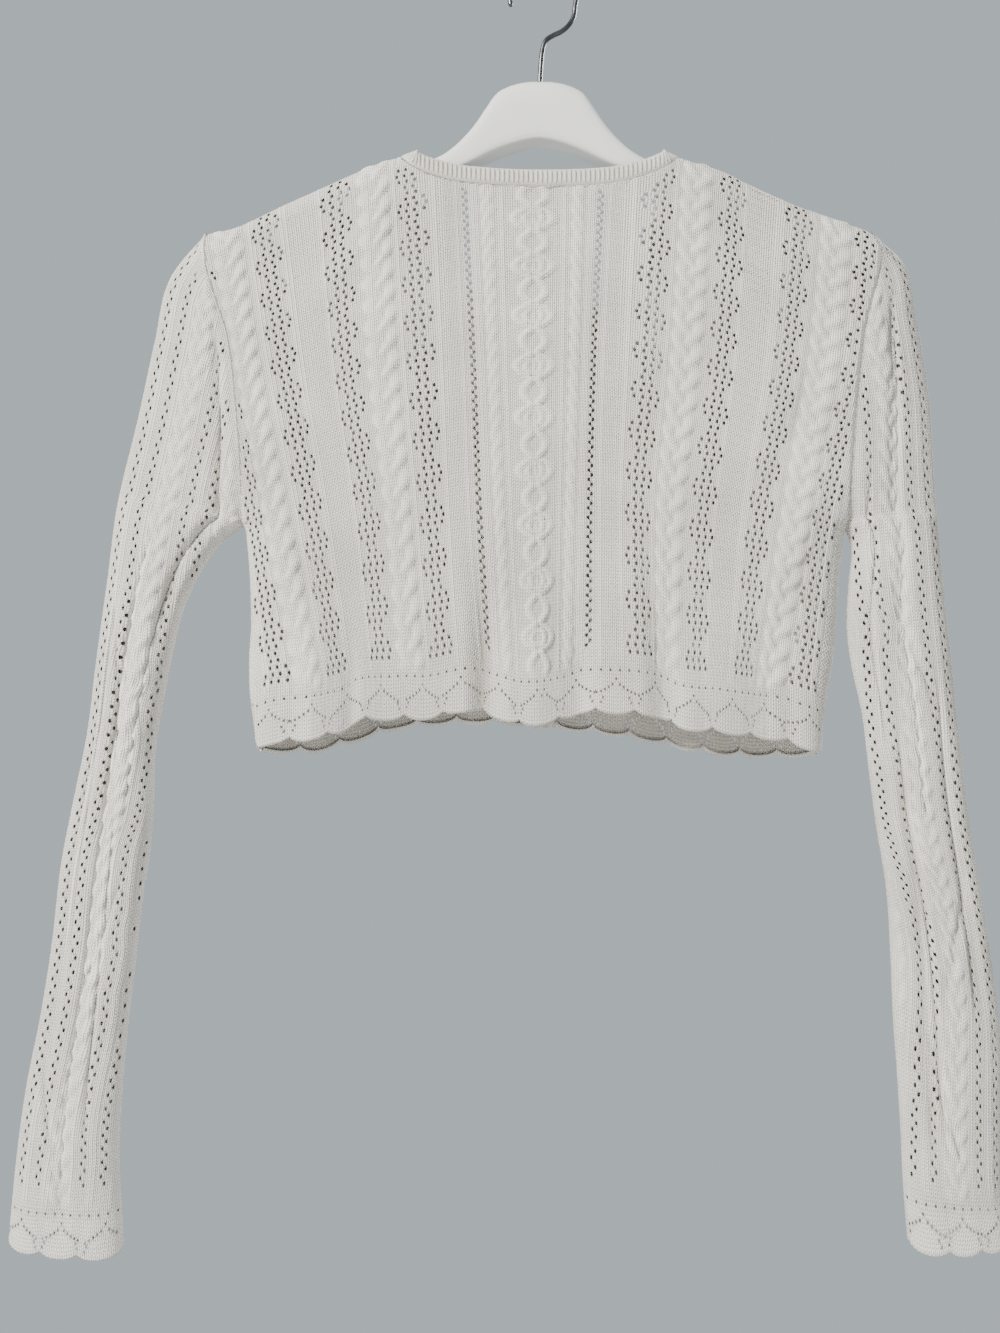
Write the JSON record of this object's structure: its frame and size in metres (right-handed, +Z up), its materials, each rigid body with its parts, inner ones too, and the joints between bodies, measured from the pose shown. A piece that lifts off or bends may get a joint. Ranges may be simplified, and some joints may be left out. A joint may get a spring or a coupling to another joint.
{
  "type": "cropped cardigan on a hanger",
  "caption": "Cropped long-sleeved cable and pointelle cardigan with scalloped hem and cuffs, hanging flat on a shaped hanger with a wire hook.",
  "frame": {"origin": "inside of the hook's bend, at its top, where the hanger bears", "axes": "+Z up, the garment's back faces -Y, +X to the right of someone who looks at the back"},
  "size_m": [0.6167, 0.0369, 0.8029],
  "materials": {
    "knit": "fine ivory cotton-blend knit",
    "lacquer": "white lacquer, satin to glossy",
    "steel": "dark plated steel wire"
  },
  "bodies": {
    "root": {"back": "knit", "front_left": "knit", "front_right": "knit", "sleeve_left_upper": "knit", "sleeve_left_lower": "knit", "sleeve_right_upper": "knit", "sleeve_right_lower": "knit", "neck_band": "knit", "front_band_left": "knit", "front_band_right": "knit", "hanger": "lacquer", "hanger_hook": "steel"}
  },
  "joints": []
}
